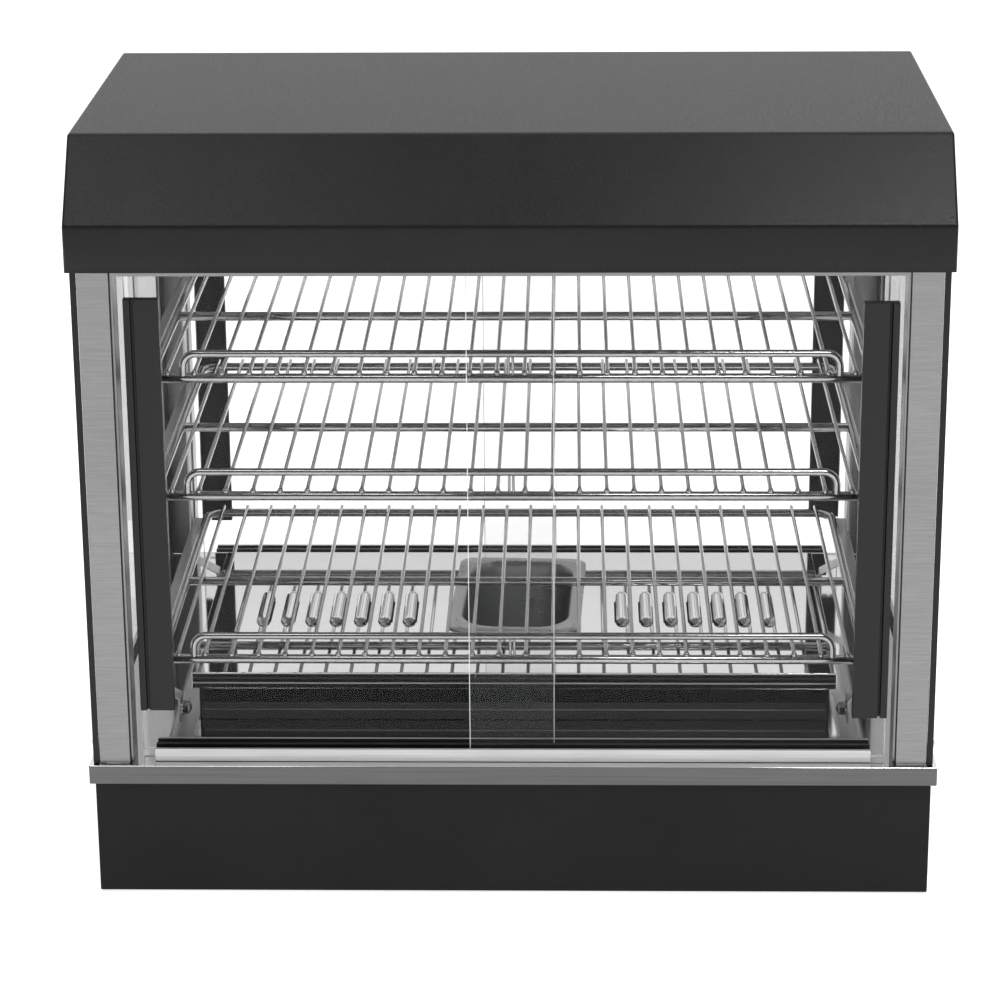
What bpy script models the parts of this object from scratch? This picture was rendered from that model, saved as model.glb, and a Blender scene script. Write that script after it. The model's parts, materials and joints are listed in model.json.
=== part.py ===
"""Countertop heated food display cabinet with glass sides and sliding doors front and rear.

Metres, +Z up. The origin is the middle of the footprint, -Y is the customer's side.
"""

import math

import bmesh
import bpy
from mathutils import Matrix, Vector

# Overall size
WIDTH = 0.660
DEPTH = 0.487
FRONT = -DEPTH / 2
GAP = 0.0003  # left between pieces that touch

# Heights
BASE_BOTTOM = 0.0015
DECK_TOP = 0.110
RIM_HEIGHT = 0.0155
HOOD_BOTTOM = DECK_TOP + 0.397
FASCIA_TOP = HOOD_BOTTOM + 0.035
HOOD_TOP = FASCIA_TOP + 0.060
LINER_BOTTOM = HOOD_BOTTOM + 0.008

# Hood slopes, measured along Y
FRONT_SLOPE = 0.047
REAR_SLOPE = 0.129

# Sheet thicknesses
SHEET = 0.0015
DOOR_GLASS = 0.004
SIDE_GLASS = 0.0048

# Base
BASE_X = 0.326
BASE_Y = DEPTH / 2 - 0.004
BASE_WALL = 0.002
FOOT_RADIUS = 0.012
FOOT_PLACES = {"left": -0.285, "right": 0.285}, {"front": -0.2, "rear": 0.2}
PANEL_Y = 0.2275  # outer face of the recessed rear control panel

# Heater, pan and element
PLATE_X = 0.258
PLATE_Y = -0.1555, 0.1245
PLATE_TOP = DECK_TOP + 0.0428
PLATE_LIP = 0.014
HEATER_INSET = 0.005
HEATER_BOTTOM = 0.060
PAN_CENTRE = Vector((0.0014, 0.0193))
PAN_TURN = math.radians(-2.2)
PAN_RIM = 0.055, 0.088
PAN_BODY = 0.0455, 0.0785
PAN_DEPTH = 0.064
LOUVER_COUNT = 7
LOUVER_FIRST_X = 0.0885
LOUVER_PITCH = 0.0203
LOUVER_Y = -0.0505, 0.0225
LOUVER_RADIUS = 0.0062
ELEMENT_RADIUS = 0.004
ELEMENT_Z = 0.076

# Posts and side glass
POST_X = 0.298, 0.3217
POST_DEPTH = 0.025
POST_SETBACK = 0.005
GLASS_X = 0.3220

# Door tracks, counted inward from the cabinet's front or rear face
TRACK_WALLS = (0.009, 0.012), (0.019, 0.023), (0.030, 0.033)
TRACK_HALF_LENGTH = 0.279
TRACK_HEIGHT = 0.0105
TRACK_FLOOR = 0.0025
HEAD_BOTTOM = DECK_TOP + 0.392
JAMB_X = 0.2957, 0.2977

# Doors
DOOR_EDGE = 0.2900
DOOR_OVERLAP = 0.033
OUTER_GLASS = 0.0135
INNER_GLASS = 0.0245
DOOR_BOTTOM = DECK_TOP + 0.0032
DOOR_TOP = HOOD_BOTTOM + 0.001
HANDLE_BOTTOM = DECK_TOP + 0.039
HANDLE_TOP = DECK_TOP + 0.372
HANDLE_WIDTH = 0.0267
HANDLE_FLANGE = 0.0052
HANDLE_GROOVE = 0.0022

# Shelves
SHELF_HEIGHTS = DECK_TOP + 0.3014, DECK_TOP + 0.2065, DECK_TOP + 0.0712
SHELF_Y = FRONT + 0.045, FRONT + 0.392
SHELF_X = 0.2795
RAIL = 0.0062
WIRE = 0.0026
WIRE_COUNT = 26
WIRE_HALF_SPAN = 0.2622
LIP_RISE = 0.0198
LIP_X = 0.2525
LIP_BAR = 0.005

# Side racks that carry the shelves
RACK_X = 0.2885
RACK_FOOT_X = 0.2665
RACK_FOOT_Z = DECK_TOP + 0.009
RACK_BEND_Z = DECK_TOP + 0.028, DECK_TOP + 0.040
RACK_UPRIGHTS = FRONT + 0.075, FRONT + 0.362
RACK_UPRIGHT_HALF = 0.009
LEDGE_Y = FRONT + 0.048, FRONT + 0.389
LEDGE_WEB = 0.022
LEDGE_REACH = 0.2745
NUT_Z = DECK_TOP + 0.018

# Rear controls: place along X on the control panel
CONTROL_Z = 0.060
KNOB_X = -0.215
POWER_X = -0.140
LIGHT_X = -0.100
SIGNAL_X = -0.062
GLAND_X = 0.260
ROCKER_TILT = math.radians(8)
ROCKER_PIVOT_Y = PANEL_Y - 0.0013

LOOKS = {
    "powder_black": ((0.035, 0.035, 0.036, 1), 0.55, 0.0),
    "black_metal": ((0.02, 0.02, 0.02, 1), 0.45, 0.0),
    "brushed": ((0.55, 0.55, 0.55, 1), 0.38, 1.0),
    "polished": ((0.75, 0.75, 0.75, 1), 0.12, 1.0),
    "chrome": ((0.8, 0.8, 0.8, 1), 0.10, 1.0),
    "galvanised": ((0.45, 0.46, 0.47, 1), 0.5, 1.0),
    "glass": ((0.9, 0.95, 0.93, 0.25), 0.02, 0.0),
    "lamp_glass": ((0.95, 0.93, 0.85, 1), 0.15, 0.0),
    "plastic": ((0.015, 0.015, 0.015, 1), 0.4, 0.0),
    "ceramic": ((0.8, 0.78, 0.74, 1), 0.6, 0.0),
    "rubber": ((0.02, 0.02, 0.02, 1), 0.9, 0.0),
    "signal": ((0.7, 0.15, 0.05, 1), 0.2, 0.0),
}


def clear_scene():
    for obj in list(bpy.data.objects):
        bpy.data.objects.remove(obj, do_unlink=True)


def material_for(name, look):
    colour, roughness, metallic = LOOKS[look]
    material = bpy.data.materials.new(name)
    material.use_nodes = True
    shader = material.node_tree.nodes["Principled BSDF"]
    shader.inputs["Base Color"].default_value = colour
    shader.inputs["Alpha"].default_value = colour[3]
    shader.inputs["Roughness"].default_value = roughness
    shader.inputs["Metallic"].default_value = metallic
    return material


def object_from(bm, name, look, smooth=False):
    bmesh.ops.recalc_face_normals(bm, faces=bm.faces)
    mesh = bpy.data.meshes.new(name)
    bm.to_mesh(mesh)
    bm.free()
    if smooth:
        mesh.shade_smooth()
        mesh.set_sharp_from_angle(angle=math.radians(35))
    obj = bpy.data.objects.new(name, mesh)
    bpy.context.collection.objects.link(obj)
    if look:
        mesh.materials.append(material_for(name, look))
    else:
        obj.hide_render = True
        obj.display_type = "WIRE"
    return obj


def place_at(obj, pivot):
    """Moves the object's origin to the pivot and leaves its shape where it is."""
    obj.data.transform(Matrix.Translation(-Vector(pivot)))
    obj.location = pivot


def add_block(bm, low, high):
    low, high = Vector(low), Vector(high)
    size = Matrix.Diagonal((*(high - low), 1.0))
    bmesh.ops.create_cube(bm, size=1.0, matrix=Matrix.Translation((low + high) / 2) @ size)


def blocks(name, corners, look=None):
    bm = bmesh.new()
    for low, high in corners:
        add_block(bm, low, high)
    return object_from(bm, name, look)


def prism(name, outline, start, end, axis, look=None):
    """Extrudes a closed outline along an axis. The outline's plane is the other two axes, in order."""
    place = {
        "X": lambda a, b, along: (along, a, b),
        "Y": lambda a, b, along: (a, along, b),
        "Z": lambda a, b, along: (a, b, along),
    }[axis]
    bm = bmesh.new()
    rings = [[bm.verts.new(place(a, b, along)) for a, b in outline] for along in (start, end)]
    count = len(outline)
    for i in range(count):
        j = (i + 1) % count
        bm.faces.new((rings[0][i], rings[0][j], rings[1][j], rings[1][i]))
    bm.faces.new(rings[0])
    bm.faces.new(rings[1])
    return object_from(bm, name, look)


def turned(name, profile, centre, axis, look=None, steps=20):
    """Revolves (distance along axis, radius) points about the axis. Zero radii close the ends."""
    turn = {"X": (0, 1, 2), "Y": (1, 2, 0), "Z": (2, 0, 1)}[axis]
    bm = bmesh.new()

    def point(along, radius, angle):
        values = [0.0, 0.0, 0.0]
        values[turn[0]] = along
        values[turn[1]] = radius * math.cos(angle)
        values[turn[2]] = radius * math.sin(angle)
        return bm.verts.new(Vector(centre) + Vector(values))

    rings = []
    for along, radius in profile:
        if radius == 0:
            rings.append([point(along, 0, 0)])
        else:
            rings.append([point(along, radius, 2 * math.pi * i / steps) for i in range(steps)])
    closed = profile[0][1] != 0
    pairs = list(zip(rings, rings[1:] + rings[:1] if closed else rings[1:]))
    for first, second in pairs:
        for i in range(steps):
            j = (i + 1) % steps
            corners = [first[i % len(first)], first[j % len(first)]]
            corners += [second[j % len(second)], second[i % len(second)]]
            bm.faces.new(list(dict.fromkeys(corners)))
    return object_from(bm, name, look, smooth=True)


def boolean(target, operation, helper):
    modifier = target.modifiers.new(helper.name, "BOOLEAN")
    modifier.operation = operation
    modifier.object = helper
    modifier.solver = "EXACT"


def mirrored(low, high, sign):
    """The box with its X range put on the left (-1) or right (1) side."""
    xs = sorted((sign * low[0], sign * high[0]))
    return (xs[0], *low[1:]), (xs[1], *high[1:])


def inward(distance, face):
    """Y at a distance in from the front (-1) or rear (1) face."""
    return face * (DEPTH / 2 - distance)


def between(near, far, face):
    return sorted((inward(near, face), inward(far, face)))


# Base ------------------------------------------------------------------------


def make_base():
    inner = BASE_X - BASE_WALL
    outline = [
        (-BASE_X, BASE_Y), (-BASE_X, -BASE_Y), (BASE_X, -BASE_Y), (BASE_X, BASE_Y),
        (inner, BASE_Y), (inner, -BASE_Y + BASE_WALL), (-inner, -BASE_Y + BASE_WALL), (-inner, BASE_Y),
    ]
    top = DECK_TOP - SHEET - GAP
    prism("base_housing", outline, BASE_BOTTOM, top, "Z", "powder_black")
    plate_x, plate_bottom, plate_top = inner - 0.0005, 0.0028, 0.0048
    blocks(
        "base_bottom_plate",
        [((-plate_x, -BASE_Y + BASE_WALL + 0.0005, plate_bottom), (plate_x, BASE_Y - 0.0005, plate_top))],
        "galvanised",
    )
    xs, ys = FOOT_PLACES
    for side, x in xs.items():
        for end, y in ys.items():
            foot = [(0, 0), (0, FOOT_RADIUS), (plate_bottom - GAP, FOOT_RADIUS), (plate_bottom - GAP, 0)]
            turned(f"foot_{end}_{side}", foot, (x, y, 0), "Z", "rubber", 16)
    blocks(
        "terminal_block",
        [((0.19, 0.16, plate_top + GAP), (0.23, 0.182, plate_top + 0.02))],
        "plastic",
    )
    make_control_panel(plate_x, plate_top + GAP, top)


def make_control_panel(half_width, bottom, top):
    inside = PANEL_Y - BASE_WALL
    panel = blocks(
        "rear_control_panel", [((-half_width, inside, bottom), (half_width, PANEL_Y, top))], "powder_black"
    )
    for name, x, radius in (("knob", KNOB_X, 0.0036), ("signal", SIGNAL_X, 0.0052), ("gland", GLAND_X, 0.0083)):
        through = [(-0.01, 0), (-0.01, radius), (0.01, radius), (0.01, 0)]
        boolean(panel, "DIFFERENCE", turned(f"cut_{name}", through, (x, PANEL_Y, CONTROL_Z), "Y"))
    for name, x in (("power", POWER_X), ("light", LIGHT_X)):
        hole = blocks(
            f"cut_{name}", [((x - 0.0075, inside - 0.01, CONTROL_Z - 0.0105), (x + 0.0075, 0.24, CONTROL_Z + 0.0105))]
        )
        boolean(panel, "DIFFERENCE", hole)
        make_rocker_switch(name, x)
    make_thermostat(inside)
    lens = [(-0.010, 0), (-0.010, 0.0048), (GAP, 0.0048), (GAP, 0.0068), (0.003, 0.0064), (0.0055, 0.004), (0.0062, 0)]
    turned("indicator_lamp", lens, (SIGNAL_X, PANEL_Y, CONTROL_Z), "Y", "signal")
    gland = [
        (-0.012, 0.0045), (-0.012, 0.008), (GAP, 0.008), (GAP, 0.0125), (0.007, 0.0125), (0.014, 0.009), (0.014, 0.0045),
    ]
    turned("cord_inlet_gland", gland, (GLAND_X, PANEL_Y, CONTROL_Z), "Y", "plastic", 16)


def make_rocker_switch(name, x):
    outer = PANEL_Y + 0.0018
    housing = blocks(
        f"{name}_switch_housing",
        [((x - 0.0072, PANEL_Y - 0.024, CONTROL_Z - 0.0102), (x + 0.0072, outer, CONTROL_Z + 0.0102))],
        "plastic",
    )
    bezel = blocks(
        f"bezel_{name}",
        [((x - 0.0095, PANEL_Y + GAP, CONTROL_Z - 0.0125), (x + 0.0095, outer, CONTROL_Z + 0.0125))],
    )
    pocket = blocks(
        f"pocket_{name}",
        [((x - 0.0058, ROCKER_PIVOT_Y - 0.0062, CONTROL_Z - 0.009), (x + 0.0058, 0.25, CONTROL_Z + 0.009))],
    )
    boolean(housing, "UNION", bezel)
    boolean(housing, "DIFFERENCE", pocket)
    section = [
        (0.0032, -0.008), (0.0016, 0.0), (0.0032, 0.008), (-0.0005, 0.008), (-0.003, 0.005), (-0.003, -0.005),
        (-0.0005, -0.008),
    ]
    turn = Matrix.Rotation(-ROCKER_TILT, 2)
    tilted = [turn @ Vector(point) for point in section]
    outline = [(ROCKER_PIVOT_Y + a, CONTROL_Z + b) for a, b in tilted]
    rocker = prism(f"{name}_rocker", outline, x - 0.0052, x + 0.0052, "X", "plastic")
    place_at(rocker, (x, ROCKER_PIVOT_Y, CONTROL_Z))


def make_thermostat(inside):
    body = blocks(
        "thermostat_body",
        [((KNOB_X - 0.018, inside - 0.032, CONTROL_Z - 0.018), (KNOB_X + 0.018, inside - GAP, CONTROL_Z + 0.018))],
        "ceramic",
    )
    shaft = [(inside - 0.002, 0), (inside - 0.002, 0.003), (PANEL_Y + 0.0007, 0.003), (PANEL_Y + 0.0007, 0)]
    boolean(body, "UNION", turned("thermostat_shaft", shaft, (KNOB_X, 0, CONTROL_Z), "Y"))
    knob = [
        (0.001, 0), (0.001, 0.0195), (0.003, 0.0195), (0.0045, 0.0165), (0.0135, 0.0145), (0.015, 0.013), (0.015, 0),
    ]
    turned("thermostat_knob", knob, (0, 0, 0), "Y", "plastic", 24)
    bpy.data.objects["thermostat_knob"].location = (KNOB_X, PANEL_Y, CONTROL_Z)


# Deck and heater ---------------------------------------------------------------


def make_deck():
    half_x, half_y = WIDTH / 2, DEPTH / 2
    rim = blocks("rim_frame", [((-half_x, -half_y, DECK_TOP - RIM_HEIGHT), (half_x, half_y, DECK_TOP))], "brushed")
    skirt = 0.002
    under = ((-half_x + skirt, -half_y + skirt, 0), (half_x - skirt, half_y - skirt, DECK_TOP - SHEET))
    boolean(rim, "DIFFERENCE", blocks("cut_under_rim", [under]))
    x, y0, y1 = heater_outline()
    well = ((-x - 0.0006, y0 - 0.0006, 0), (x + 0.0006, y1 + 0.0006, 0.2))
    boolean(rim, "DIFFERENCE", blocks("cut_heater_well", [well]))


def heater_outline():
    return PLATE_X - HEATER_INSET, PLATE_Y[0] + HEATER_INSET, PLATE_Y[1] - HEATER_INSET


def element_terminals():
    return (-0.205, -0.105), (-0.205, 0.075)


def make_heater():
    x, y0, y1 = heater_outline()
    top = PLATE_TOP - SHEET - GAP
    box = blocks("heater_box", [((-x, y0, HEATER_BOTTOM), (x, y1, top))], "polished")
    hollow = ((-x + SHEET, y0 + SHEET, HEATER_BOTTOM + SHEET), (x - SHEET, y1 - SHEET, top + 0.01))
    boolean(box, "DIFFERENCE", blocks("cut_heater_hollow", [hollow]))
    for i, (hole_x, hole_y) in enumerate(element_terminals()):
        hole = [(-0.01, 0), (-0.01, 0.0052), (0.01, 0.0052), (0.01, 0)]
        centre = (hole_x, hole_y, HEATER_BOTTOM)
        boolean(box, "DIFFERENCE", turned(f"cut_terminal_{i}", hole, centre, "Z", steps=12))
    make_element()
    make_plate()
    make_pan()


def arc(centre, radius, start, end, steps):
    """Points of an arc, as (a, b) pairs, from the start angle to the end angle in degrees."""
    angles = [math.radians(start + (end - start) * i / steps) for i in range(steps + 1)]
    return [(centre[0] + radius * math.cos(t), centre[1] + radius * math.sin(t)) for t in angles]


def make_element():
    """A sheathed element: four runs joined by half-circle turns, both ends turned down through the box."""
    (x, first), (_, last) = element_terminals()
    pitch = (last - first) / 3
    bend = 0.012
    drop = arc((x + bend, ELEMENT_Z - bend), bend, 180, 90, 4)
    points = [(x, first, 0.048)] + [(a, first, b) for a, b in drop]
    for run in range(3):
        side = 1 if run % 2 == 0 else -1
        centre = (side * (-x - pitch / 2), first + (run + 0.5) * pitch)
        points += [(a, b, ELEMENT_Z) for a, b in arc(centre, pitch / 2, -90, -90 + side * 180, 8)]
    points += [(a, last, b) for a, b in reversed(drop)] + [(x, last, 0.048)]
    curve = bpy.data.curves.new("heating_element", "CURVE")
    curve.dimensions = "3D"
    curve.bevel_depth = ELEMENT_RADIUS
    curve.bevel_resolution = 2
    curve.use_fill_caps = True
    spline = curve.splines.new("POLY")
    spline.points.add(len(points) - 1)
    for point, place in zip(spline.points, points):
        point.co = (*place, 1)
    element = bpy.data.objects.new("heating_element", curve)
    bpy.context.collection.objects.link(element)
    curve.materials.append(material_for("heating_element", "galvanised"))


def make_plate():
    y0, y1 = PLATE_Y
    bottom = PLATE_TOP - PLATE_LIP
    plate = blocks("heater_cover_plate", [((-PLATE_X, y0, bottom), (PLATE_X, y1, PLATE_TOP))], "polished")
    wall = 0.0012
    under = ((-PLATE_X + wall, y0 + wall, 0), (PLATE_X - wall, y1 - wall, PLATE_TOP - SHEET))
    boolean(plate, "DIFFERENCE", blocks("cut_under_plate", [under]))
    for side in (-1, 1):
        for i in range(LOUVER_COUNT):
            x = side * (LOUVER_FIRST_X + i * LOUVER_PITCH)
            half = arc((x, PLATE_TOP - 0.0008), LOUVER_RADIUS, 0, 180, 6)
            name = f"louver_{'left' if side < 0 else 'right'}_{i}"
            boolean(plate, "UNION", prism(name, half, *LOUVER_Y, "Y"))
    cut_x, cut_y = 0.0495, 0.083
    x, y = PAN_CENTRE
    hole = ((x - cut_x, y - cut_y, 0), (x + cut_x, y + cut_y, 0.2))
    boolean(plate, "DIFFERENCE", blocks("cut_pan_hole", [hole]))


def rounded_rectangle(half_x, half_y, radius, steps=3):
    points = []
    for sx, sy, start in ((1, 1, 0), (-1, 1, 90), (-1, -1, 180), (1, -1, 270)):
        centre = (sx * (half_x - radius), sy * (half_y - radius))
        points += arc(centre, radius, start, start + 90, steps)
    return points


def make_pan():
    rim_z = PLATE_TOP + GAP
    rim_top = rim_z + 0.0015
    floor = rim_top - PAN_DEPTH
    wall = 0.0012
    (rim_x, rim_y), (body_x, body_y) = PAN_RIM, PAN_BODY
    taper = 0.007
    rings = [
        (body_x - taper - wall, body_y - taper - wall, 0.012, floor + wall),
        (body_x - wall, body_y - wall, 0.019, rim_top),
        (rim_x, rim_y, 0.012, rim_top),
        (rim_x, rim_y, 0.012, rim_z),
        (body_x, body_y, 0.020, rim_z),
        (body_x - taper, body_y - taper, 0.013, floor),
    ]
    bm = bmesh.new()
    loops = []
    for half_x, half_y, radius, z in rings:
        loops.append([bm.verts.new((a, b, z)) for a, b in rounded_rectangle(half_x, half_y, radius)])
    for first, second in zip(loops, loops[1:]):
        for i in range(len(first)):
            j = (i + 1) % len(first)
            bm.faces.new((first[i], first[j], second[j], second[i]))
    bm.faces.new(loops[0])
    bm.faces.new(loops[-1])
    pan = object_from(bm, "water_pan", "polished", smooth=True)
    pan.location = (*PAN_CENTRE, 0)
    pan.rotation_euler.z = PAN_TURN


# Frame, glass and hood -----------------------------------------------------------


def make_posts():
    top = LINER_BOTTOM - GAP
    inner_x, outer_x = POST_X
    for side, sign in (("left", -1), ("right", 1)):
        for end, face in (("front", -1), ("rear", 1)):
            near, far = inward(POST_SETBACK, face), inward(POST_SETBACK + POST_DEPTH, face)
            skin = near - face * SHEET
            outline = [
                (inner_x, near), (outer_x, near), (outer_x, far), (outer_x - SHEET, far),
                (outer_x - SHEET, skin), (inner_x + SHEET, skin), (inner_x + SHEET, far), (inner_x, far),
            ]
            outline = [(sign * x, y) for x, y in outline]
            prism(f"post_{end}_{side}", outline, DECK_TOP + GAP, top, "Z", "brushed")
        low = (GLASS_X, -inward(POST_SETBACK, 1), DECK_TOP + GAP)
        high = (GLASS_X + SIDE_GLASS, inward(POST_SETBACK, 1), top)
        blocks(f"side_glass_{side}", [mirrored(low, high, sign)], "glass")
        for end, face in (("front", -1), ("rear", 1)):
            make_glass_screw(end, side, face, sign)


def make_glass_screw(end, side, face, sign):
    head = GLASS_X + SIDE_GLASS + GAP
    profile = [(head, 0), (head, 0.0032), (head + 0.0014, 0.0026), (head + 0.0022, 0)]
    profile = [(sign * along, radius) for along, radius in profile]
    centre = (0, inward(0.017, face), DECK_TOP + 0.013)
    turned(f"glass_screw_{end}_{side}", profile, centre, "X", "chrome", 12)


def make_hood():
    half_x, half_y = WIDTH / 2, DEPTH / 2
    section = [
        (-half_y, HOOD_BOTTOM), (-half_y, FASCIA_TOP), (-half_y + FRONT_SLOPE, HOOD_TOP),
        (half_y - REAR_SLOPE, HOOD_TOP), (half_y, FASCIA_TOP), (half_y, HOOD_BOTTOM),
    ]
    bm = bmesh.new()
    ends = [[bm.verts.new((x, y, z)) for y, z in section] for x in (-half_x, half_x)]
    for i in range(len(section) - 1):
        bm.faces.new((ends[0][i], ends[0][i + 1], ends[1][i + 1], ends[1][i]))
    bm.faces.new(ends[0])
    bm.faces.new(ends[1])
    hood = object_from(bm, "hood_shell", "powder_black")
    skin = hood.modifiers.new("sheet", "SOLIDIFY")
    skin.thickness = SHEET
    skin.offset = -1
    skin.use_even_offset = True
    x, y = half_x - SHEET - 0.0005, half_y - SHEET - 0.0005
    blocks("hood_liner", [((-x, -y, LINER_BOTTOM), (x, y, LINER_BOTTOM + SHEET))], "brushed")
    for side, sign in (("left", -1), ("right", 1)):
        make_lamp(side, sign)


def make_lamp(side, sign):
    centre_z = LINER_BOTTOM - 0.018
    far = 0.225
    body = [(far, 0), (far, 0.0155), (far - 0.032, 0.0155), (far - 0.032, 0)]
    body = [(sign * along, radius) for along, radius in body]
    holder = turned(f"lamp_holder_{side}", body, (0, 0, centre_z), "X", "ceramic", 16)
    foot = ((far - 0.030, -0.010, centre_z), (far - 0.002, 0.010, LINER_BOTTOM - GAP))
    boolean(holder, "UNION", blocks(f"lamp_foot_{side}", [mirrored(*foot, sign)]))
    start = far - 0.032 - GAP
    bulb = [(0, 0), (0, 0.0095), (0.012, 0.0125), (0.062, 0.0125), (0.070, 0.009), (0.073, 0)]
    bulb = [(sign * (start - along), radius) for along, radius in bulb]
    turned(f"lamp_{side}", bulb, (0, 0, centre_z), "X", "lamp_glass", 16)


# Doors ---------------------------------------------------------------------------


def groove_cutters(name, half_length, low, high, face):
    """The two glass channels between a track's three walls."""
    spans = [(TRACK_WALLS[i][1], TRACK_WALLS[i + 1][0]) for i in range(2)]
    corners = []
    for near, far in spans:
        y0, y1 = between(near, far, face)
        corners.append(((-half_length, y0, low), (half_length, y1, high)))
    return blocks(name, corners)


def make_tracks():
    near, far = TRACK_WALLS[0][0], TRACK_WALLS[-1][1]
    for end, face in (("front", -1), ("rear", 1)):
        y0, y1 = between(near, far, face)
        low = (-TRACK_HALF_LENGTH, y0, DECK_TOP + GAP)
        high = (TRACK_HALF_LENGTH, y1, DECK_TOP + TRACK_HEIGHT)
        sill = blocks(f"{end}_bottom_track", [(low, high)], "polished")
        floor = DECK_TOP + TRACK_FLOOR
        boolean(sill, "DIFFERENCE", groove_cutters(f"cut_{end}_sill", 0.3, floor, 0.2, face))
        inner, outer = JAMB_X
        roof = LINER_BOTTOM - GAP
        frame = blocks(f"{end}_door_frame", [((-outer, y0, HEAD_BOTTOM), (outer, y1, roof))], "brushed")
        jambs = [
            mirrored((inner, y0, DECK_TOP + GAP), (outer, y1, HEAD_BOTTOM + 0.004), sign) for sign in (-1, 1)
        ]
        boolean(frame, "UNION", blocks(f"{end}_jambs", jambs))
        cutter = groove_cutters(f"cut_{end}_head", inner, 0.4, roof - TRACK_FLOOR, face)
        boolean(frame, "DIFFERENCE", cutter)


def make_doors():
    for end, face in (("front", -1), ("rear", 1)):
        for side, sign, near in (("left", -1, INNER_GLASS), ("right", 1, OUTER_GLASS)):
            y0, y1 = between(near, near + DOOR_GLASS, face)
            low, high = (-DOOR_OVERLAP, y0, DOOR_BOTTOM), (DOOR_EDGE, y1, DOOR_TOP)
            pane = blocks(f"{end}_door_{side}_glass", [mirrored(low, high, sign)], "glass")
            place_at(pane, (sign * DOOR_EDGE, (y0 + y1) / 2, DOOR_BOTTOM))
            make_handle(f"{end}_door_{side}_handle", sign, face, near)


def make_handle(name, sign, face, glass_depth):
    thick = 0.006 if glass_depth == INNER_GLASS else 0.008
    back = inward(glass_depth - GAP, face)
    front = inward(glass_depth - GAP - thick, face)
    middle = (back + front) / 2
    edge = DOOR_EDGE
    groove_out = edge - HANDLE_FLANGE
    groove_in = groove_out - HANDLE_GROOVE
    outline = [
        (edge - HANDLE_WIDTH, back), (edge - HANDLE_WIDTH, front), (groove_in, front), (groove_in, middle),
        (groove_out, middle), (groove_out, front), (edge, front), (edge, back),
    ]
    outline = [(sign * x, y) for x, y in outline]
    handle = prism(name, outline, HANDLE_BOTTOM, HANDLE_TOP, "Z", "black_metal")
    place_at(handle, (sign * edge, back, HANDLE_BOTTOM))


# Shelves -------------------------------------------------------------------------


def make_shelf(number, height):
    half = RAIL / 2
    y_front, y_back = SHELF_Y
    middle = (y_front + y_back) / 2
    name = f"shelf_{number}"
    cross = []
    for y in (y_front, middle, y_back):
        cross.append(((-SHELF_X, y - half, height - half), (SHELF_X, y + half, height + half)))
    shelf = blocks(name, cross, "chrome")
    sides = []
    for sign in (-1, 1):
        low, high = (SHELF_X - RAIL, y_front - half, height - half), (SHELF_X, y_back + half, height + half)
        low = (low[0] + 0.0001, low[1] + 0.0001, low[2] + 0.0001)
        high = (high[0] + 0.0001, high[1] - 0.0001, high[2] - 0.0001)
        sides.append(mirrored(low, high, sign))
    boolean(shelf, "UNION", blocks(f"{name}_sides", sides))
    wires = []
    wire_low = height + half - 0.0006
    for i in range(WIRE_COUNT):
        x = WIRE_HALF_SPAN * (2 * i / (WIRE_COUNT - 1) - 1)
        low = (x - WIRE / 2, y_front - half + 0.001, wire_low)
        wires.append((low, (x + WIRE / 2, y_back + half + 0.003, wire_low + WIRE)))
    boolean(shelf, "UNION", blocks(f"{name}_wires", wires))
    lip_top, lip_low = height + LIP_RISE + LIP_BAR / 2, height + LIP_RISE - LIP_BAR / 2
    outer, inner, strap = LIP_X, LIP_X - LIP_BAR, 0.0026
    foot = height + 0.001
    outline = [
        (-outer, foot), (-outer, lip_top), (outer, lip_top), (outer, foot), (inner, foot), (inner, lip_low),
        (strap, lip_low), (strap, foot), (-strap, foot), (-strap, lip_low), (-inner, lip_low), (-inner, foot),
    ]
    lip = prism(f"{name}_lip", outline, y_front - 0.0028, y_front + 0.0022, "Y")
    boolean(shelf, "UNION", lip)


def make_rack(side, sign):
    """A side frame: two bent uprights up to the ceiling, an angle ledge for each shelf and two nuts."""
    top = LINER_BOTTOM - GAP
    outer, foot = RACK_X, RACK_FOOT_X
    inner = outer - SHEET
    rack = None
    for end, y in zip(("front", "rear"), RACK_UPRIGHTS):
        outline = [
            (outer, top), (outer, RACK_BEND_Z[1]), (foot, RACK_BEND_Z[0]), (foot, RACK_FOOT_Z),
            (foot - SHEET, RACK_FOOT_Z), (foot - SHEET, RACK_BEND_Z[0]), (inner, RACK_BEND_Z[1]), (inner, top),
        ]
        outline = [(sign * x, z) for x, z in outline]
        span = y - RACK_UPRIGHT_HALF, y + RACK_UPRIGHT_HALF
        if rack is None:
            rack = prism(f"side_rack_{side}", outline, *span, "Y", "brushed")
        else:
            boolean(rack, "UNION", prism(f"upright_{end}_{side}", outline, *span, "Y"))
        face = foot - SHEET - GAP
        profile = [(0, 0), (0, 0.0062), (0.0045, 0.0062), (0.0070, 0.0036), (0.0078, 0)]
        profile = [(sign * (face - along), radius) for along, radius in profile]
        nut = turned(f"rack_nut_{end}_{side}", profile, (0, y, NUT_Z), "X", "chrome", 12)
        nut.data.shade_flat()
    for i, height in enumerate(SHELF_HEIGHTS):
        ledge_top = height - RAIL / 2 - GAP
        web_out, web_in = outer + 0.0002, inner - 0.0002
        outline = [
            (web_out, ledge_top - LEDGE_WEB), (web_out, ledge_top), (LEDGE_REACH, ledge_top),
            (LEDGE_REACH, ledge_top - SHEET), (web_in, ledge_top - SHEET), (web_in, ledge_top - LEDGE_WEB),
        ]
        outline = [(sign * x, z) for x, z in outline]
        boolean(rack, "UNION", prism(f"ledge_{side}_{i}", outline, *LEDGE_Y, "Y"))


def main():
    clear_scene()
    make_base()
    make_deck()
    make_heater()
    make_posts()
    make_hood()
    make_tracks()
    make_doors()
    for number, height in enumerate(SHELF_HEIGHTS, start=1):
        make_shelf(number, height)
    for side, sign in (("left", -1), ("right", 1)):
        make_rack(side, sign)


main()
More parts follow.
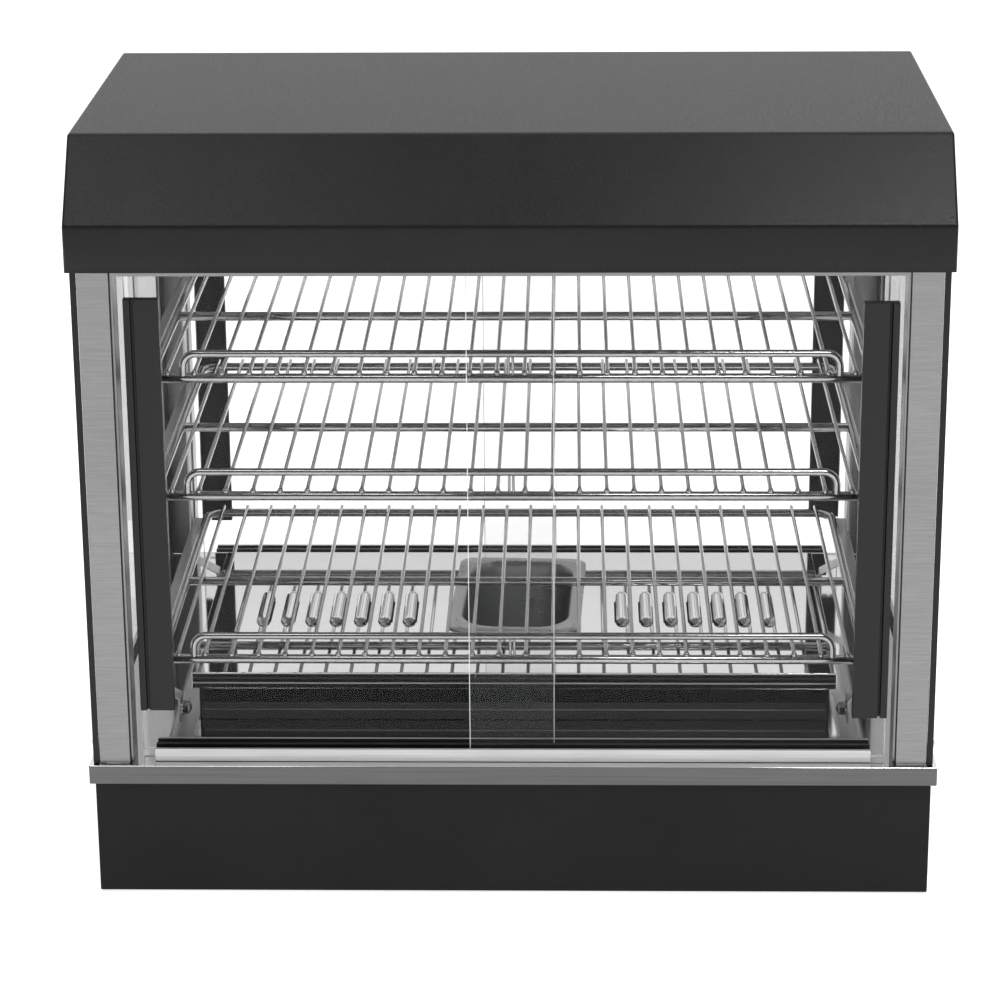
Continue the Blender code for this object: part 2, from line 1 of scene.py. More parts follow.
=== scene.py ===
"""Heated food display cabinet: finished surfaces, camera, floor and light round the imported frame."""

import json
import math

import bmesh
import bpy
from mathutils import Euler, Matrix, Vector

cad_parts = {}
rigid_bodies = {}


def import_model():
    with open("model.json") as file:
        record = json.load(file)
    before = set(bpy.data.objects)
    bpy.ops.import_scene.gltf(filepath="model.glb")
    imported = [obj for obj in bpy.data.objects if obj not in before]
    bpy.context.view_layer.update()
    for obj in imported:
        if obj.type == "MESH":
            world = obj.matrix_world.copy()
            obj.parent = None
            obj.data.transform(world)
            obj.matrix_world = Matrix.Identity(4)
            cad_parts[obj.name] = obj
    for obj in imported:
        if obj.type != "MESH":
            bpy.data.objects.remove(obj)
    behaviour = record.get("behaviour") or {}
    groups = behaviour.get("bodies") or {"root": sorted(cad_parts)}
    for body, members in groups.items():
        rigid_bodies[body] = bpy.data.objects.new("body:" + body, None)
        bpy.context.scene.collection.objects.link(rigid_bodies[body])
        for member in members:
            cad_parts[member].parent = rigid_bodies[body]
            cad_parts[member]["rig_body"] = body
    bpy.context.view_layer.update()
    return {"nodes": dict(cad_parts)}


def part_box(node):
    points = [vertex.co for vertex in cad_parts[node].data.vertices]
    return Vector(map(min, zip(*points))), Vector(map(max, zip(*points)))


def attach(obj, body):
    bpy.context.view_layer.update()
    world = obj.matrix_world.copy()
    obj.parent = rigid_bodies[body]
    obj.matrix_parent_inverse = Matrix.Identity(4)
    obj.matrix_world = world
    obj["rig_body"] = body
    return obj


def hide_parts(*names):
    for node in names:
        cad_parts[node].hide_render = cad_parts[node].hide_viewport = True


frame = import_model()

WHITE = (1.0, 1.0, 1.0, 1.0)
CABINET = "cabinet"

# Camera: distances in metres from the frame's origin, angles in degrees
CAMERA_PLACE = (0.0443, -2.508, 1.1152)
CAMERA_PITCH = 18.226
CAMERA_YAW = -1.311
CAMERA_ROLL = -0.397
SENSOR = 36.0
CAMERA_LENS = 3.172 * SENSOR
CAMERA_SHIFT_Y = -0.05

SHELVES = "shelf_1", "shelf_2", "shelf_3"
SIDES = (("left", -1), ("right", 1))
ENDS = (("front", -1), ("rear", 1))


# Materials ---------------------------------------------------------------------


def nodes_of(material):
    return material.node_tree.nodes, material.node_tree.links


def new_material(name, colour, roughness, metallic=0.0, **sockets):
    material = bpy.data.materials.new(name)
    material.use_nodes = True
    shader = material.node_tree.nodes["Principled BSDF"]
    shader.inputs["Base Color"].default_value = (*colour, 1.0)
    shader.inputs["Roughness"].default_value = roughness
    shader.inputs["Metallic"].default_value = metallic
    for label, value in sockets.items():
        shader.inputs[label.replace("_", " ")].default_value = value
    return material


def add_noise(material, scale, detail=2.0, stretch=(1.0, 1.0, 1.0), roughness=0.5):
    """A noise texture in object space, stretched along the axes, which returns its Factor socket."""
    nodes, links = nodes_of(material)
    place = nodes.new("ShaderNodeTexCoord")
    mapping = nodes.new("ShaderNodeMapping")
    mapping.inputs["Scale"].default_value = stretch
    noise = nodes.new("ShaderNodeTexNoise")
    noise.inputs["Scale"].default_value = scale
    noise.inputs["Detail"].default_value = detail
    noise.inputs["Roughness"].default_value = roughness
    links.new(place.outputs["Object"], mapping.inputs["Vector"])
    links.new(mapping.outputs["Vector"], noise.inputs["Vector"])
    return noise.outputs["Fac"]


def spread(material, factor, low, high):
    """Maps a 0.3 to 0.7 factor to the given range."""
    nodes, links = nodes_of(material)
    ramp = nodes.new("ShaderNodeMapRange")
    ramp.inputs["From Min"].default_value = 0.3
    ramp.inputs["From Max"].default_value = 0.7
    ramp.inputs["To Min"].default_value = low
    ramp.inputs["To Max"].default_value = high
    links.new(factor, ramp.inputs["Value"])
    return ramp.outputs["Result"]


def vary_roughness(material, factor, low, high):
    links = material.node_tree.links
    shader = material.node_tree.nodes["Principled BSDF"]
    links.new(spread(material, factor, low, high), shader.inputs["Roughness"])


def vary_colour(material, factor, dark, light):
    nodes, links = nodes_of(material)
    mix = nodes.new("ShaderNodeMix")
    mix.data_type = "RGBA"
    mix.inputs["A"].default_value = (*dark, 1.0)
    mix.inputs["B"].default_value = (*light, 1.0)
    links.new(spread(material, factor, 0.0, 1.0), mix.inputs["Factor"])
    links.new(mix.outputs["Result"], nodes["Principled BSDF"].inputs["Base Color"])


def add_bump(material, factor, strength, distance):
    nodes, links = nodes_of(material)
    shader = nodes["Principled BSDF"]
    bump = nodes.new("ShaderNodeBump")
    bump.inputs["Strength"].default_value = strength
    bump.inputs["Distance"].default_value = distance
    links.new(factor, bump.inputs["Height"])
    if shader.inputs["Normal"].is_linked:
        links.new(shader.inputs["Normal"].links[0].from_socket, bump.inputs["Normal"])
    links.new(bump.outputs["Normal"], shader.inputs["Normal"])


def powder_coat(name, tone, roughness):
    """Fine pebbled powder coat: a small orange-peel bump and slightly uneven tone."""
    material = new_material(name, (tone, tone, tone * 1.02), roughness, Specular_IOR_Level=0.14)
    grain = add_noise(material, 900.0, 2.0)
    patches = add_noise(material, 14.0, 2.0)
    vary_colour(material, patches, (tone * 0.9,) * 3, (tone * 1.12,) * 3)
    vary_roughness(material, grain, roughness - 0.05, roughness + 0.07)
    add_bump(material, grain, 0.2, 0.0005)
    return material


def brushed_steel(name, tone, stretch, roughness=0.34):
    """Stainless sheet with fine straight grain along the axis whose stretch is smallest."""
    material = new_material(name, (tone,) * 3, roughness, 1.0)
    grain = add_noise(material, 1.0, 4.0, stretch, 0.65)
    cloud = add_noise(material, 9.0, 2.0)
    vary_colour(material, grain, (tone * 0.84,) * 3, (min(1.0, tone * 1.14),) * 3)
    vary_roughness(material, cloud, roughness - 0.05, roughness + 0.06)
    add_bump(material, grain, 0.25, 0.0003)
    return material


def polished_steel(name, tone, roughness):
    """Bright sheet with a faint waviness and light handling marks."""
    material = new_material(name, (tone,) * 3, roughness, 1.0)
    smears = add_noise(material, 22.0, 4.0, (1.0, 1.6, 1.0), 0.6)
    vary_roughness(material, smears, roughness * 0.8, roughness * 1.3)
    vary_colour(material, smears, (tone * 0.98,) * 3, (min(1.0, tone * 1.02),) * 3)
    add_bump(material, add_noise(material, 7.0, 1.0), 0.05, 0.002)
    return material


def chrome(name, tone):
    material = new_material(name, (tone,) * 3, 0.11, 1.0)
    spots = add_noise(material, 160.0, 3.0)
    vary_roughness(material, spots, 0.07, 0.19)
    vary_colour(material, spots, (tone * 0.9,) * 3, (tone * 1.04,) * 3)
    return material


def moulded(name, colour, roughness):
    material = new_material(name, colour, roughness, Specular_IOR_Level=0.5)
    grain = add_noise(material, 1500.0, 2.0)
    vary_roughness(material, grain, roughness - 0.07, roughness + 0.07)
    add_bump(material, grain, 0.2, 0.0003)
    return material


def glossy_black(name, tone, roughness, gloss):
    material = new_material(name, (tone,) * 3, roughness, Specular_IOR_Level=gloss)
    smears = add_noise(material, 30.0, 3.0)
    vary_roughness(material, smears, roughness * 0.9, roughness * 1.15)
    vary_colour(material, smears, (tone * 0.92,) * 3, (tone * 1.08,) * 3)
    return material


def satin_black(name, tone):
    """Black anodised extrusion with die lines along its length."""
    material = new_material(name, (tone,) * 3, 0.36, 0.0, Specular_IOR_Level=0.25)
    lines = add_noise(material, 1.0, 3.0, (1400.0, 1400.0, 3.0))
    vary_colour(material, lines, (tone * 0.85,) * 3, (tone * 1.2,) * 3)
    vary_roughness(material, lines, 0.30, 0.44)
    return material


def clear_glass(name, facing, grazing, tint):
    """Thin clear pane: mostly see-through face on, more reflective at a low angle, with faint smears."""
    material = new_material(name, tint, 0.03, 0.0, Specular_IOR_Level=0.6)
    nodes, links = nodes_of(material)
    shader = nodes["Principled BSDF"]
    angle = nodes.new("ShaderNodeLayerWeight")
    angle.inputs["Blend"].default_value = 0.25
    ramp = nodes.new("ShaderNodeMapRange")
    ramp.inputs["To Min"].default_value = facing
    ramp.inputs["To Max"].default_value = grazing
    links.new(angle.outputs["Facing"], ramp.inputs["Value"])
    links.new(ramp.outputs["Result"], shader.inputs["Alpha"])
    smears = add_noise(material, 11.0, 3.0, (1.0, 1.0, 0.6), 0.7)
    vary_roughness(material, smears, 0.0, 0.012)
    return material


def glass_edge(name):
    """Ground edge of a pane: pale, frosted and slightly green."""
    material = new_material(name, (0.86, 0.90, 0.88), 0.45, 0.0, Alpha=0.85)
    vary_roughness(material, add_noise(material, 700.0, 2.0), 0.35, 0.6)
    return material


HORIZONTAL_GRAIN = (40.0, 40.0, 2000.0)
DEPTH_GRAIN = (900.0, 6.0, 900.0)
WIDTH_GRAIN = (6.0, 900.0, 900.0)

LOOKS = {
    "hood": powder_coat("powder_coat_hood", 0.011, 0.27),
    "base": powder_coat("powder_coat_base", 0.009, 0.50),
    "handle": satin_black("anodised_black", 0.010),
    "frame": satin_black("anodised_frame", 0.006),
    "post": brushed_steel("brushed_posts", 0.225, HORIZONTAL_GRAIN),
    "rim": brushed_steel("brushed_rim", 0.115, WIDTH_GRAIN, 0.36),
    "liner": brushed_steel("brushed_liner", 0.40, WIDTH_GRAIN),
    "rack": brushed_steel("rack_steel", 0.60, DEPTH_GRAIN, 0.38),
    "sill": brushed_steel("sill_steel", 0.60, WIDTH_GRAIN, 0.55),
    "plate": polished_steel("polished_plate", 0.82, 0.035),
    "deck": polished_steel("polished_deck", 0.80, 0.06),
    "pan": polished_steel("pan_steel", 0.42, 0.28),
    "box": glossy_black("heater_box_black", 0.004, 0.16, 0.15),
    # the band's lighter tone is a painted reflection on the dark box front
    "band": glossy_black("heater_box_reflection_band", 0.044, 0.20, 0.16),
    # near-black painted shade for the louver openings and the screw recesses
    "shadow": new_material("painted_recess_shade", (0.01, 0.01, 0.01), 0.8),
    "chrome": chrome("chrome_wire", 0.39),
    "nut": chrome("plated_nut", 0.55),
    "galvanised": brushed_steel("galvanised", 0.45, (40.0, 40.0, 40.0), 0.5),
    "door_glass": clear_glass("door_glass", 0.030, 0.45, (0.12, 0.126, 0.124)),
    "side_glass": clear_glass("side_glass", 0.06, 0.55, (0.14, 0.15, 0.145)),
    "glass_edge": glass_edge("ground_glass_edge"),
    "lamp_glass": moulded("frosted_lamp", (0.92, 0.90, 0.84), 0.25),
    "plastic": moulded("black_plastic", (0.014, 0.014, 0.014), 0.42),
    "print": moulded("pale_print", (0.75, 0.75, 0.75), 0.5),
    "ceramic": moulded("white_ceramic", (0.78, 0.76, 0.72), 0.5),
    "rubber": moulded("black_rubber", (0.018, 0.018, 0.018), 0.85),
    "signal": moulded("signal_lens", (0.62, 0.12, 0.04), 0.15),
}


# Mesh helpers --------------------------------------------------------------------


def piece_from(bm, name, looks, smooth_angle=40.0):
    bmesh.ops.recalc_face_normals(bm, faces=bm.faces)
    mesh = bpy.data.meshes.new(name)
    bm.to_mesh(mesh)
    bm.free()
    for look in looks:
        mesh.materials.append(LOOKS[look])
    if smooth_angle:
        mesh.shade_smooth()
        mesh.set_sharp_from_angle(angle=math.radians(smooth_angle))
    obj = bpy.data.objects.new(name, mesh)
    bpy.context.scene.collection.objects.link(obj)
    return obj


def settle(obj, body, slot, *replaced):
    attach(obj, body)
    if replaced:
        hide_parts(*replaced)
    return obj


def bevel(obj, width, segments=2, angle=30.0):
    modifier = obj.modifiers.new("edges", "BEVEL")
    modifier.width = width
    modifier.segments = segments
    modifier.limit_method = "ANGLE"
    modifier.angle_limit = math.radians(angle)
    modifier.harden_normals = True
    return modifier


def clean_copy(node):
    """The node's solid as a bmesh, welded and with its flat faces joined up."""
    bm = bmesh.new()
    bm.from_mesh(frame["nodes"][node].data)
    bmesh.ops.remove_doubles(bm, verts=bm.verts, dist=1e-6)
    flat = math.radians(0.5)
    bmesh.ops.dissolve_limit(bm, angle_limit=flat, verts=bm.verts, edges=bm.edges, delimit={"NORMAL"})
    return bm


def finished(node, look, slot, width=0.0006, body=CABINET, segments=2, angle=30.0):
    """Replaces a node by the same shape with rounded edges and a finished surface."""
    obj = piece_from(clean_copy(node), f"{node}_finish", [look])
    bevel(obj, width, segments, angle)
    return settle(obj, body, slot, node)


def arc(centre, radius, start, end, steps):
    angles = [math.radians(start + (end - start) * i / steps) for i in range(steps + 1)]
    return [(centre[0] + radius * math.cos(t), centre[1] + radius * math.sin(t)) for t in angles]


def add_tube(bm, points, radius, sides=10, closed=False):
    """A round bar along the points, with domed ends unless it is closed."""
    points = [Vector(p) for p in points]
    count = len(points)
    rings = []
    side = None
    for i, point in enumerate(points):
        before = points[i - 1] if closed or i else points[i]
        after = points[(i + 1) % count] if closed or i < count - 1 else points[i]
        ahead = (after - before).normalized()
        if side is None:
            side = ahead.orthogonal().normalized()
        side = (side - ahead * side.dot(ahead)).normalized()
        up = ahead.cross(side)
        ring = []
        for k in range(sides):
            angle = 2 * math.pi * k / sides
            ring.append(bm.verts.new(point + (side * math.cos(angle) + up * math.sin(angle)) * radius))
        rings.append(ring)
    pairs = list(zip(rings, rings[1:] + rings[:1] if closed else rings[1:]))
    for first, second in pairs:
        for k in range(sides):
            j = (k + 1) % sides
            bm.faces.new((first[k], first[j], second[j], second[k]))
    if closed:
        return
    for ring, point, inner in ((rings[0], points[0], points[1]), (rings[-1], points[-1], points[-2])):
        out = (point - inner).normalized()
        middle = [bm.verts.new(point + (v.co - point) * 0.70 + out * radius * 0.70) for v in ring]
        tip = bm.verts.new(point + out * radius)
        for k in range(sides):
            j = (k + 1) % sides
            bm.faces.new((ring[k], ring[j], middle[j], middle[k]))
            bm.faces.new((middle[k], middle[j], tip))


def add_turned(bm, profile, centre, axis, steps=32):
    """Revolves (along, radius) points about an axis through the centre."""
    order = {"X": (0, 1, 2), "Y": (1, 2, 0), "Z": (2, 0, 1)}[axis]
    rings = []
    for along, radius in profile:
        ring = []
        for i in range(steps if radius > 0 else 1):
            angle = 2 * math.pi * i / steps
            value = [0.0, 0.0, 0.0]
            value[order[0]] = along
            value[order[1]] = radius * math.cos(angle)
            value[order[2]] = radius * math.sin(angle)
            ring.append(bm.verts.new(Vector(centre) + Vector(value)))
        rings.append(ring)
    for first, second in zip(rings, rings[1:]):
        for i in range(steps):
            j = (i + 1) % steps
            corners = [first[i % len(first)], first[j % len(first)]]
            corners += [second[j % len(second)], second[i % len(second)]]
            bm.faces.new(list(dict.fromkeys(corners)))


def add_box(bm, low, high, material_index=0):
    low, high = Vector(low), Vector(high)
    size = Matrix.Diagonal((*(high - low), 1.0))
    made = bmesh.ops.create_cube(bm, size=1.0, matrix=Matrix.Translation((low + high) / 2) @ size)
    for face in {f for v in made["verts"] for f in v.link_faces}:
        face.material_index = material_index


def domed(start, depth, radius):
    """The rounded part of a profile for add_turned, without its first point and its tip."""
    angles = [math.radians(15 * i) for i in range(1, 6)]
    return [(start + depth * math.sin(t), radius * math.cos(t)) for t in angles]


def rounded_rectangle(half_x, half_y, radius, steps=8):
    points = []
    for sx, sy, start in ((1, 1, 0), (-1, 1, 90), (-1, -1, 180), (1, -1, 270)):
        centre = (sx * (half_x - radius), sy * (half_y - radius))
        points += arc(centre, radius, start, start + 90, steps)
    return points


def extruded(bm, outline, start, end, axis):
    place = {
        "X": lambda a, b, along: (along, a, b),
        "Y": lambda a, b, along: (a, along, b),
        "Z": lambda a, b, along: (a, b, along),
    }[axis]
    rings = [[bm.verts.new(place(a, b, along)) for a, b in outline] for along in (start, end)]
    count = len(outline)
    for i in range(count):
        j = (i + 1) % count
        bm.faces.new((rings[0][i], rings[0][j], rings[1][j], rings[1][i]))
    bm.faces.new(rings[0])
    bm.faces.new(rings[1])


# Hood, base and rim --------------------------------------------------------------

HOOD_SHEET = 0.0015
HOOD_FOLD = 0.0022


def make_hood():
    """The hood as one folded sheet, with its gable outline taken from the node."""
    low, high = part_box("hood_shell")
    section = hood_section(frame["nodes"]["hood_shell"])
    bm = bmesh.new()
    ends = [[bm.verts.new((x, y, z)) for y, z in section] for x in (low.x, high.x)]
    for i in range(len(section) - 1):
        bm.faces.new((ends[0][i], ends[0][i + 1], ends[1][i + 1], ends[1][i]))
    bm.faces.new(ends[0])
    bm.faces.new(ends[1])
    hood = piece_from(bm, "hood_cover", ["hood"])
    bevel(hood, HOOD_FOLD, 4, 20.0)
    skin = hood.modifiers.new("sheet", "SOLIDIFY")
    skin.thickness = HOOD_SHEET
    skin.offset = -1
    settle(hood, CABINET, "powder_black", "hood_shell")


def hood_section(node):
    """The outer outline of the hood's gable, front to rear, read from the node's end face."""
    edge = min(v.co.x for v in node.data.vertices)
    points = {(round(v.co.y, 5), round(v.co.z, 5)) for v in node.data.vertices if v.co.x < edge + 1e-5}
    bottom = min(z for _, z in points)
    rim = sorted(y for y, z in points if z < bottom + 1e-5)
    front, rear = rim[0], rim[-1]
    middle = (front + rear) / 2
    ahead = sorted((p for p in points if p[0] < middle), key=lambda p: (p[1], -p[0]))
    behind = sorted((p for p in points if p[0] >= middle), key=lambda p: (-p[1], p[0]))
    ahead = [p for p in ahead if p[1] > bottom + 1e-5 or p[0] == front]
    behind = [p for p in behind if p[1] > bottom + 1e-5 or p[0] == rear]
    return ahead + behind


def make_shells():
    make_hood()
    finished("base_housing", "base", "powder_black", 0.0009, segments=3)
    finished("rear_control_panel", "base", "powder_black", 0.0004)
    make_rim()
    finished("hood_liner", "liner", "brushed_steel", 0.0004)
    finished("base_bottom_plate", "galvanised", "galvanised", 0.0004)
    for side, _ in SIDES:
        for end, _ in ENDS:
            finished(f"post_{end}_{side}", "post", "brushed_steel", 0.0006, segments=3)
            make_foot(f"foot_{end}_{side}")


def make_rim():
    """The rim frame: brushed flange outside, polished deck on top."""
    bm = clean_copy("rim_frame")
    for face in bm.faces:
        face.material_index = 1 if face.normal.z > 0.9 else 0
    rim = piece_from(bm, "rim_frame_finish", ["rim", "deck"])
    bevel(rim, 0.0011, 3).loop_slide = False
    settle(rim, CABINET, "brushed_steel", "rim_frame")


def make_foot(node):
    low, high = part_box(node)
    radius, height = (high.x - low.x) / 2, high.z - low.z
    profile = [(0, 0), (0, radius * 0.86), (height * 0.25, radius * 0.96), (height * 0.6, radius)]
    profile += [(height, radius), (height, radius * 0.3)]
    profile += [(height * 0.8, radius * 0.28), (height * 0.8, 0)]
    bm = bmesh.new()
    add_turned(bm, profile, ((low.x + high.x) / 2, (low.y + high.y) / 2, low.z), "Z", 28)
    settle(piece_from(bm, f"{node}_rubber", ["rubber"]), CABINET, "rubber", node)


# Tracks, doors and glass ---------------------------------------------------------


def make_pane(node, look, edge_look, body):
    """A pane with small ground chamfers, its edge faces in the second material."""
    low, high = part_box(node)
    bm = bmesh.new()
    add_box(bm, low, high)
    bmesh.ops.bevel(bm, geom=bm.edges[:], offset=0.0005, segments=2, profile=0.5, affect="EDGES")
    thin = min(range(3), key=lambda i: high[i] - low[i])
    for face in bm.faces:
        face.material_index = 0 if abs(face.normal[thin]) > 0.999 else 1
    pane = piece_from(bm, f"{node}_pane", [look, edge_look], 20.0)
    settle(pane, body, "clear_glass", node)


def make_track(node, facing):
    """A bottom track: bright outside and on its two outer lips, black in the channels and behind."""
    low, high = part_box(node)
    lips = (low.y, low.y + 0.0036), (high.y - 0.0036, high.y)
    bm = clean_copy(node)
    for face in bm.faces:
        centre = face.calc_center_median()
        on_lip = face.normal.z > 0.9 and any(y0 < centre.y < y1 for y0, y1 in lips)
        on_face = face.normal.y * facing > 0.9 and min(centre.y - low.y, high.y - centre.y) < 1e-4
        face.material_index = 0 if on_face or on_lip else 1
    track = piece_from(bm, f"{node}_finish", ["sill", "frame"])
    bevel(track, 0.0003)
    settle(track, CABINET, "polished_steel", node)


def make_doors():
    for end, face in ENDS:
        make_track(f"{end}_bottom_track", face)
        finished(f"{end}_door_frame", "post", "brushed_steel", 0.0004)
        for side, _ in SIDES:
            body = f"{end}_door_{side}"
            make_pane(f"{body}_glass", "door_glass", "glass_edge", body)
            finished(f"{body}_handle", "handle", "black_metal", 0.0006, body, 3)
    for side, _ in SIDES:
        make_pane(f"side_glass_{side}", "side_glass", "frame", CABINET)


# Shelves -------------------------------------------------------------------------

RAIL_RADIUS = 0.0037
WIRE_RADIUS = 0.0016
LIP_RADIUS = 0.0030
WIRE_COUNT = 26
WIRE_HALF_SPAN = 0.2622
LIP_HALF = 0.2500
LIP_RISE = 0.0194
CORNER = 0.016
BALL_RADIUS = 0.0025
STRAP_RADIUS = 0.0011


def make_shelf(node):
    """A frame of round bars, 26 wires welded across it with a bead at the front, and the raised lip."""
    low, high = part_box(node)
    rail_z = low.z + RAIL_RADIUS
    x = high.x - RAIL_RADIUS
    front, back = low.y + RAIL_RADIUS, high.y - 0.003 - RAIL_RADIUS
    middle = (front + back) / 2
    bm = bmesh.new()
    frame_path = [(-x, front, rail_z)]
    frame_path += [(a, b, rail_z) for a, b in arc((-x + CORNER, back - CORNER), CORNER, 180, 90, 8)]
    frame_path += [(a, b, rail_z) for a, b in arc((x - CORNER, back - CORNER), CORNER, 90, 0, 8)]
    frame_path += [(x, front, rail_z)]
    add_tube(bm, frame_path, RAIL_RADIUS, 14)
    add_tube(bm, [(-x - 0.0002, front, rail_z), (x + 0.0002, front, rail_z)], RAIL_RADIUS, 14)
    add_tube(bm, [(-x + 0.002, middle, rail_z), (x - 0.002, middle, rail_z)], RAIL_RADIUS, 14)
    wire_z = rail_z + RAIL_RADIUS + WIRE_RADIUS - 0.0004
    for i in range(WIRE_COUNT):
        wire_x = WIRE_HALF_SPAN * (2 * i / (WIRE_COUNT - 1) - 1)
        path = [
            (wire_x, front - 0.0010, wire_z - 0.0010), (wire_x, front + 0.0018, wire_z - 0.0002),
            (wire_x, front + 0.006, wire_z), (wire_x, middle, wire_z), (wire_x, back + 0.003, wire_z),
        ]
        add_tube(bm, path, WIRE_RADIUS, 10)
        bmesh.ops.create_uvsphere(
            bm, u_segments=10, v_segments=8, radius=BALL_RADIUS,
            matrix=Matrix.Translation((wire_x, front - 0.0009, wire_z - 0.0006)),
        )
    add_lip(bm, front, rail_z)
    shelf = piece_from(bm, f"{node}_wire", ["chrome"], 60.0)
    settle(shelf, CABINET, "chrome_wire", node)


def add_lip(bm, y, rail_z):
    """The raised front rail: its ends bend down to the shelf's front rail, and a strap ties the middle."""
    lip_z, bend, foot = rail_z + LIP_RISE, 0.010, rail_z + 0.001
    path = [(-LIP_HALF, y, foot)]
    path += [(a, y, b) for a, b in arc((-LIP_HALF + bend, lip_z - bend), bend, 180, 90, 8)]
    path += [(a, y, b) for a, b in arc((LIP_HALF - bend, lip_z - bend), bend, 90, 0, 8)]
    path += [(LIP_HALF, y, foot)]
    add_tube(bm, path, LIP_RADIUS, 12)
    for x in (-0.0016, 0.0016):
        add_tube(bm, [(x, y - 0.0008, rail_z), (x, y - 0.0008, lip_z)], STRAP_RADIUS, 8)


# Heater plate, pan and box -------------------------------------------------------

LOUVER_COUNT = 7
LOUVER_FIRST_X = 0.0885
LOUVER_PITCH = 0.0203
LOUVER_Y = (-0.0505, 0.0225)
LOUVER_RADIUS = 0.0061
LOUVER_FLATNESS = 0.72
LOUVER_FAN = 142.0
LOUVER_RISE = 0.0054
PLATE_LIP = 0.014
PLATE_SHEET = 0.0013
PLATE_HOLE = (0.0495, 0.083, 0.012)
PAN_TURN = -2.2
BAND_LOW, BAND_HIGH = 0.001, 0.015
RIB_HEIGHT, RIB_RADIUS = 0.009, 0.0007


def make_plate():
    """The cover plate as a folded sheet with a hole for the pan, and seven louvers on each side of it."""
    low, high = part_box("heater_cover_plate")
    top = high.z - LOUVER_RISE
    pan_low, pan_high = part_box("water_pan")
    centre = (pan_low + pan_high) / 2
    bm = bmesh.new()
    sheet = piece_from(plate_tray(bm, low, high, top, centre), "heater_plate_sheet", ["plate"])
    bevel(sheet, 0.0011, 3, 40.0)
    settle(sheet, CABINET, "polished_steel", "heater_cover_plate")
    bm = bmesh.new()
    for side in (-1, 1):
        for i in range(LOUVER_COUNT):
            add_louver(bm, side * (LOUVER_FIRST_X + i * LOUVER_PITCH), top, -side)
    louvers = piece_from(bm, "heater_plate_louvers", ["plate", "shadow"], 50.0)
    settle(louvers, CABINET, "polished_steel")


def plate_tray(bm, low, high, top, centre):
    """A folded tray, open below, with a rounded cut-out under the pan."""
    lip = top - PLATE_LIP
    hole = [(centre.x + a, centre.y + b) for a, b in rounded_rectangle(*PLATE_HOLE)]
    skin = PLATE_SHEET
    outer = [(low.x, low.y), (high.x, low.y), (high.x, high.y), (low.x, high.y)]
    inner = [(low.x + skin, low.y + skin), (high.x - skin, low.y + skin)]
    inner += [(high.x - skin, high.y - skin), (low.x + skin, high.y - skin)]

    def ring(points, z):
        return [bm.verts.new((a, b, z)) for a, b in points]

    outer_top, outer_lip = ring(outer, top), ring(outer, lip)
    inner_lip, inner_top = ring(inner, lip), ring(inner, top - skin)
    hole_top, hole_low = ring(hole, top), ring(hole, top - skin)
    walls = (outer_top, outer_lip), (outer_lip, inner_lip), (inner_lip, inner_top), (hole_low, hole_top)
    for first, second in walls:
        for i in range(len(first)):
            j = (i + 1) % len(first)
            bm.faces.new((first[i], first[j], second[j], second[i]))
    for corners, opening in ((outer_top, hole_top), (inner_top, hole_low)):
        add_holed_face(bm, corners, opening)
    return bm


def add_holed_face(bm, corners, opening):
    """Fills between a rectangle, listed from its low corner anticlockwise, and a rounded opening."""
    count = len(opening)
    quarter = count // 4
    order = [2, 3, 0, 1]  # the opening starts at its +X +Y corner
    for q in range(4):
        corner = corners[order[q]]
        for k in range(quarter - 1):
            i = q * quarter + k
            bm.faces.new((corner, opening[i], opening[i + 1]))
        last = q * quarter + quarter - 1
        following = corners[order[(q + 1) % 4]]
        bm.faces.new((corner, opening[last], opening[(last + 1) % count], following))


def add_louver(bm, x, top, open_side):
    """A pressed louver: a rounded hood along Y whose open mouth faces the pan."""
    y0, y1 = LOUVER_Y
    steps, fan = 22, 9
    rings = []
    for s in range(steps + 1):
        t = s / steps
        y = y0 + (y1 - y0) * t
        from_end = min(y - y0, y1 - y)
        grow = min(1.0, max(0.0, from_end) / (LOUVER_RADIUS * 1.25))
        size = max(0.02, math.sqrt(1 - (1 - grow) ** 2))
        ring = []
        for k in range(fan + 1):
            angle = math.radians(180 - LOUVER_FAN * k / fan)
            across = open_side * LOUVER_RADIUS * size * math.cos(angle)
            rise = LOUVER_RADIUS * LOUVER_FLATNESS * size * math.sin(angle)
            ring.append(bm.verts.new((x + across, y, top + rise - 0.0002)))
        rings.append(ring)
    for first, second in zip(rings, rings[1:]):
        for k in range(fan):
            bm.faces.new((first[k], first[k + 1], second[k + 1], second[k]))
    add_slit(bm, x, y0, y1, top, open_side)


def add_slit(bm, x, y0, y1, top, open_side):
    """A near-black box under a louver's mouth: painted shade in its opening."""
    near, far = sorted((x - open_side * 0.0030, x + open_side * 0.0062))
    add_box(bm, (near, y0 + 0.005, top - 0.0006), (far, y1 - 0.020, top + 0.00015), 1)


